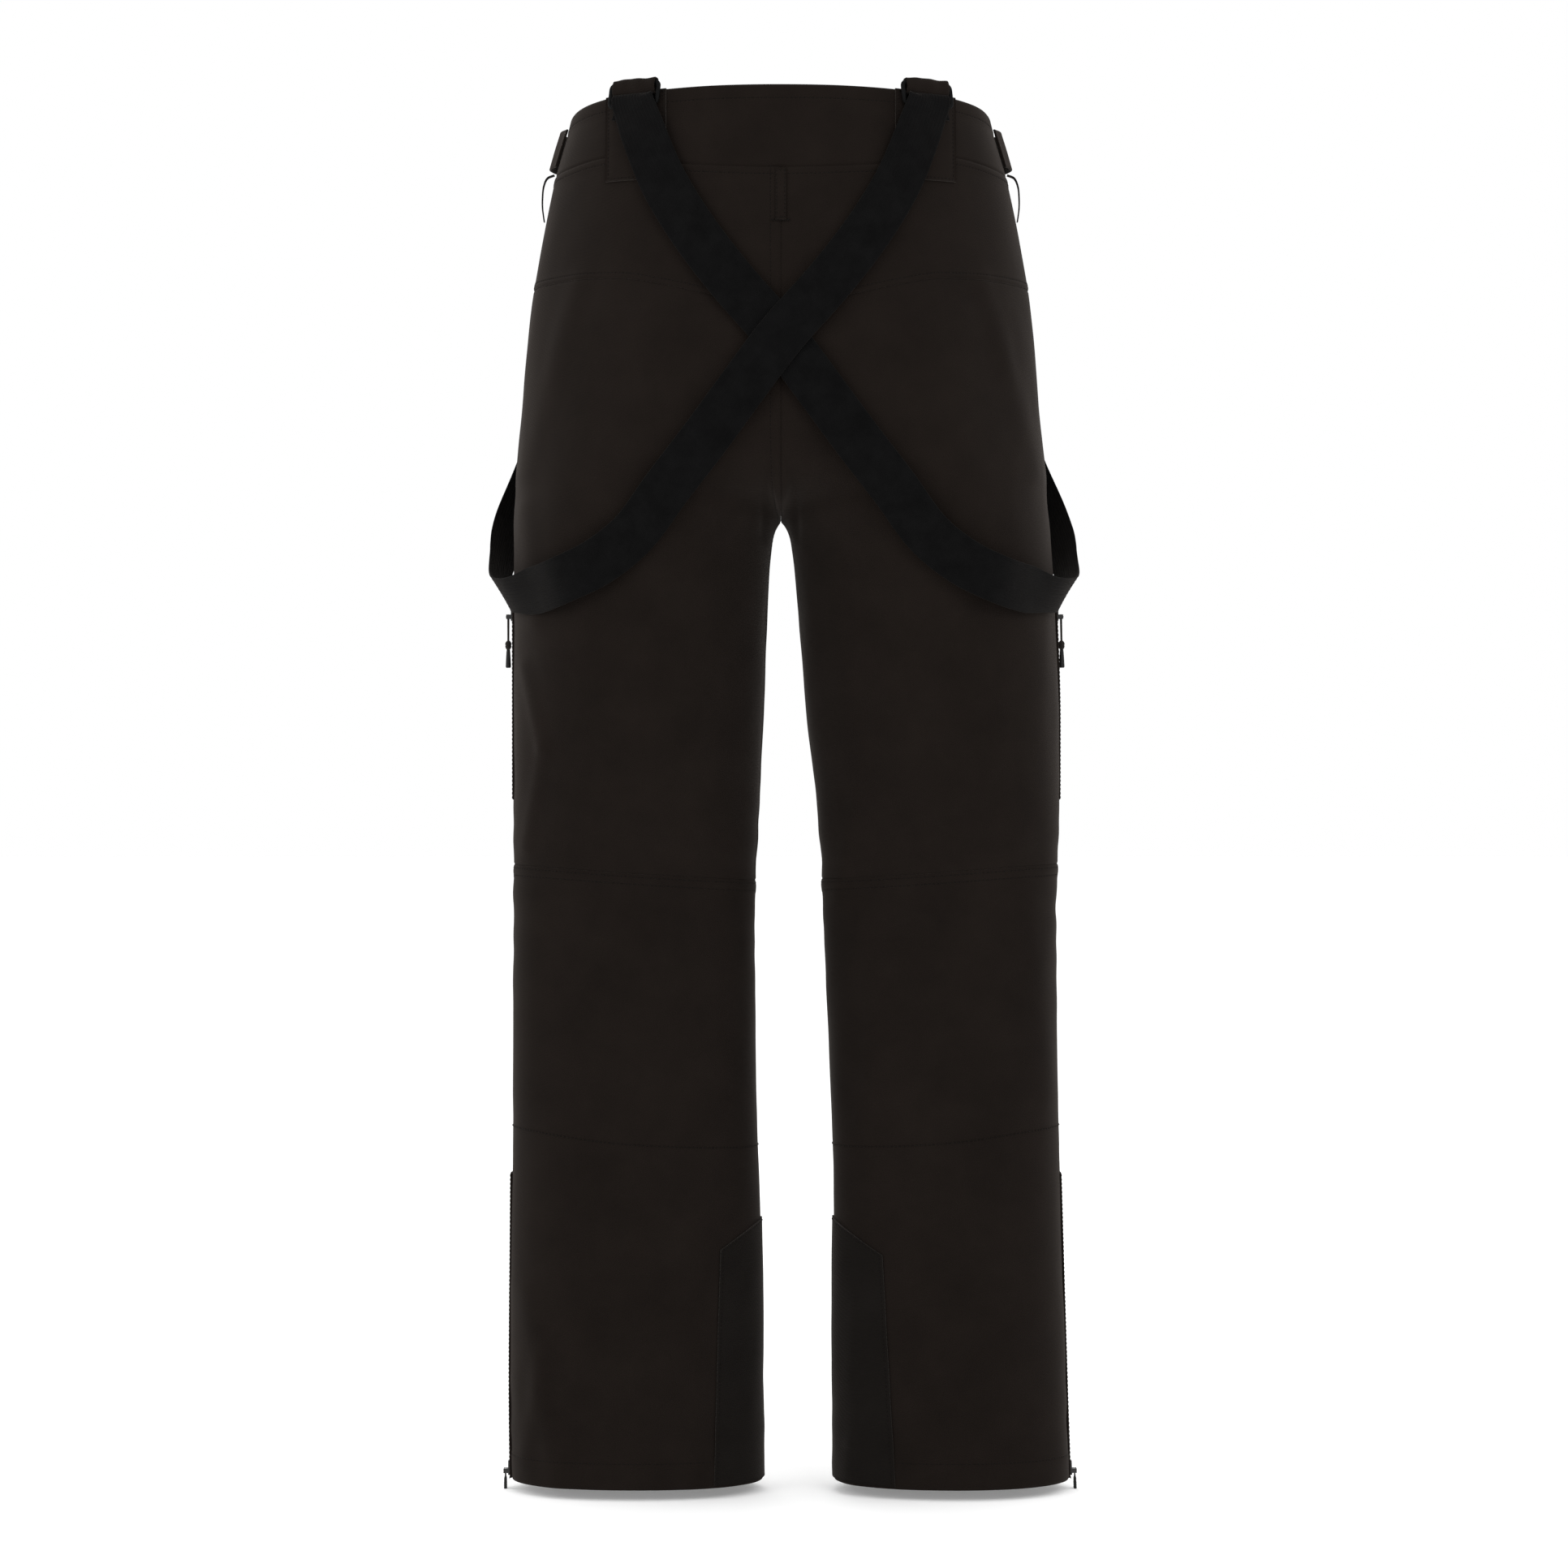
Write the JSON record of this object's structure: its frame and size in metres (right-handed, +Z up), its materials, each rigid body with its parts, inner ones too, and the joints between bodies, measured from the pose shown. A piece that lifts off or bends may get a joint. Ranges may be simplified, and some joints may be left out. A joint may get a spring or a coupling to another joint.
{
  "type": "ski pants",
  "caption": "Full-length ski pants with crossed elastic suspenders, sliding zips with hinged pulls, waist adjuster tabs, bending knees and inner gaiters.",
  "frame": {"origin": "centre of the waist opening, level with its sloping top edge at the middle of its depth plus 10 mm", "axes": "+Z up through the waist, +X to the wearer's left, -Y to the front"},
  "size_m": [0.4787, 0.2989, 1.1355],
  "materials": {
    "shell_fabric": "three-layer softshell, matt with a soft sheen",
    "strap_elastic": "ribbed woven elastic",
    "buckle_plastic": "black moulded nylon",
    "zip_tape": "woven zip tape and nylon coil",
    "zip_slider": "black lacquered zinc",
    "pull_rubber": "moulded rubber",
    "pull_cord": "braided cord with a moulded end",
    "lining_fabric": "brushed tricot",
    "gaiter_fabric": "plain coated nylon",
    "scuff_fabric": "coarse ballistic weave",
    "hook_and_loop": "hook and loop tape",
    "loop_tape": "narrow grosgrain tape",
    "snap_metal": "black lacquered brass"
  },
  "bodies": {
    "pants": {"back_carrier_left": "shell_fabric", "back_carrier_right": "shell_fabric", "back_yoke_left": "shell_fabric", "back_yoke_right": "shell_fabric", "centre_back_tab": "shell_fabric", "fly_facing": "shell_fabric", "fly_snaps": "snap_metal", "fly_zip": "zip_tape", "front_carriers": "shell_fabric", "front_panel_left": "shell_fabric", "front_panel_right": "shell_fabric", "hanger_loop_left": "loop_tape", "hanger_loop_right": "loop_tape", "knee_left": "shell_fabric", "knee_right": "shell_fabric", "loop_patches": "hook_and_loop", "pocket_bag_left": "lining_fabric", "pocket_bag_right": "lining_fabric", "pocket_zip_left": "zip_tape", "pocket_zip_right": "zip_tape", "seat_panel_left": "shell_fabric", "seat_panel_right": "shell_fabric", "strap_left": "strap_elastic", "strap_right": "strap_elastic", "strap_rings": "buckle_plastic", "thigh_zip_left": "zip_tape", "thigh_zip_right": "zip_tape", "waistband_back": "shell_fabric", "waistband_front_left": "shell_fabric", "waistband_front_right": "shell_fabric", "waistband_lining": "lining_fabric"},
    "shin_left": {"calf_panel_left": "shell_fabric", "shin_panel_left": "shell_fabric", "scuff_guard_left": "scuff_fabric", "gaiter_left": "gaiter_fabric", "ankle_zip_left": "zip_tape"},
    "shin_right": {"calf_panel_right": "shell_fabric", "shin_panel_right": "shell_fabric", "scuff_guard_right": "scuff_fabric", "gaiter_right": "gaiter_fabric", "ankle_zip_right": "zip_tape"},
    "fly_slider": {"fly_slider": "zip_slider"},
    "fly_pull": {"fly_pull": "pull_rubber"},
    "pocket_slider_left": {"pocket_slider_left": "zip_slider"},
    "pocket_pull_left": {"pocket_pull_left": "pull_rubber"},
    "pocket_slider_right": {"pocket_slider_right": "zip_slider"},
    "pocket_pull_right": {"pocket_pull_right": "pull_rubber"},
    "thigh_slider_left": {"thigh_slider_left": "zip_slider"},
    "thigh_pull_left": {"thigh_pull_left": "pull_cord"},
    "thigh_slider_right": {"thigh_slider_right": "zip_slider"},
    "thigh_pull_right": {"thigh_pull_right": "pull_cord"},
    "ankle_slider_left": {"ankle_slider_left": "zip_slider"},
    "ankle_pull_left": {"ankle_pull_left": "pull_rubber"},
    "ankle_slider_right": {"ankle_slider_right": "zip_slider"},
    "ankle_pull_right": {"ankle_pull_right": "pull_rubber"},
    "waist_tab_left": {"waist_tab_left": "hook_and_loop"},
    "strap_adjuster_left": {"strap_adjuster_left": "buckle_plastic"},
    "waist_tab_right": {"waist_tab_right": "hook_and_loop"},
    "strap_adjuster_right": {"strap_adjuster_right": "buckle_plastic"}
  },
  "joints": [
    {"name": "knee_left", "type": "hinge", "parent": "pants", "child": "shin_left", "pos_m": [0.117, 0, -0.628], "axis": [1, 0, 0], "range_deg": [0, 70], "deforming": ["knee_left"]},
    {"name": "knee_right", "type": "hinge", "parent": "pants", "child": "shin_right", "pos_m": [-0.117, 0, -0.628], "axis": [1, 0, 0], "range_deg": [0, 70], "deforming": ["knee_right"]},
    {"name": "fly_zip", "type": "slide", "parent": "pants", "child": "fly_slider", "axis": [0, -0.1144, -0.9934], "range_m": [0, 0.102]},
    {"name": "fly_pull", "type": "hinge", "parent": "fly_slider", "child": "fly_pull", "pos_m": [0, -0.13203, -0.07787], "axis": [-1, 0, 0], "range_deg": [0, 150]},
    {"name": "pocket_zip_left", "type": "slide", "parent": "pants", "child": "pocket_slider_left", "axis": [0.4351, 0.0192, -0.9002], "range_m": [0, 0.115]},
    {"name": "pocket_pull_left", "type": "hinge", "parent": "pocket_slider_left", "child": "pocket_pull_left", "pos_m": [0.06592, -0.1276, -0.0929], "axis": [-0.857, -0.2977, -0.4206], "range_deg": [0, 150]},
    {"name": "pocket_zip_right", "type": "slide", "parent": "pants", "child": "pocket_slider_right", "axis": [-0.4351, 0.0192, -0.9002], "range_m": [0, 0.115]},
    {"name": "pocket_pull_right", "type": "hinge", "parent": "pocket_slider_right", "child": "pocket_pull_right", "pos_m": [-0.06592, -0.1276, -0.0929], "axis": [-0.857, 0.2977, 0.4206], "range_deg": [0, 150]},
    {"name": "thigh_zip_left", "type": "slide", "parent": "pants", "child": "thigh_slider_left", "axis": [0, 0, -1], "range_m": [0, 0.135]},
    {"name": "thigh_pull_left", "type": "hinge", "parent": "thigh_slider_left", "child": "thigh_pull_left", "pos_m": [0.2219, 0, -0.4125], "axis": [0, -1, 0], "range_deg": [0, 85]},
    {"name": "thigh_zip_right", "type": "slide", "parent": "pants", "child": "thigh_slider_right", "axis": [-0.0187, 0, -0.9998], "range_m": [0, 0.135]},
    {"name": "thigh_pull_right", "type": "hinge", "parent": "thigh_slider_right", "child": "thigh_pull_right", "pos_m": [-0.22818, 0, -0.41241], "axis": [0, 1, 0], "range_deg": [0, 85]},
    {"name": "ankle_zip_left", "type": "slide", "parent": "shin_left", "child": "ankle_slider_left", "axis": [-0.002, 0, 1], "range_m": [0, 0.224]},
    {"name": "ankle_pull_left", "type": "hinge", "parent": "ankle_slider_left", "child": "ankle_pull_left", "pos_m": [0.22413, 0, -1.10749], "axis": [0, -1, 0], "range_deg": [0, 150]},
    {"name": "ankle_zip_right", "type": "slide", "parent": "shin_right", "child": "ankle_slider_right", "axis": [0.0303, 0, 0.9995], "range_m": [0, 0.224]},
    {"name": "ankle_pull_right", "type": "hinge", "parent": "ankle_slider_right", "child": "ankle_pull_right", "pos_m": [-0.23923, 0, -1.10735], "axis": [0, 1, 0], "range_deg": [0, 150]},
    {"name": "waist_tab_left", "type": "hinge", "parent": "pants", "child": "waist_tab_left", "pos_m": [0.17763, 0.01828, -0.03337], "axis": [-0.2881, -0.0179, 0.9574], "range_deg": [0, 100]},
    {"name": "strap_adjuster_left", "type": "slide", "parent": "pants", "child": "strap_adjuster_left", "axis": [0.4164, 0.0379, -0.9084], "range_m": [-0.042, 0.075]},
    {"name": "waist_tab_right", "type": "hinge", "parent": "pants", "child": "waist_tab_right", "pos_m": [-0.17763, 0.01828, -0.03337], "axis": [-0.2881, 0.0179, -0.9574], "range_deg": [0, 100]},
    {"name": "strap_adjuster_right", "type": "slide", "parent": "pants", "child": "strap_adjuster_right", "axis": [-0.4164, 0.0379, -0.9084], "range_m": [-0.042, 0.075]}
  ]
}
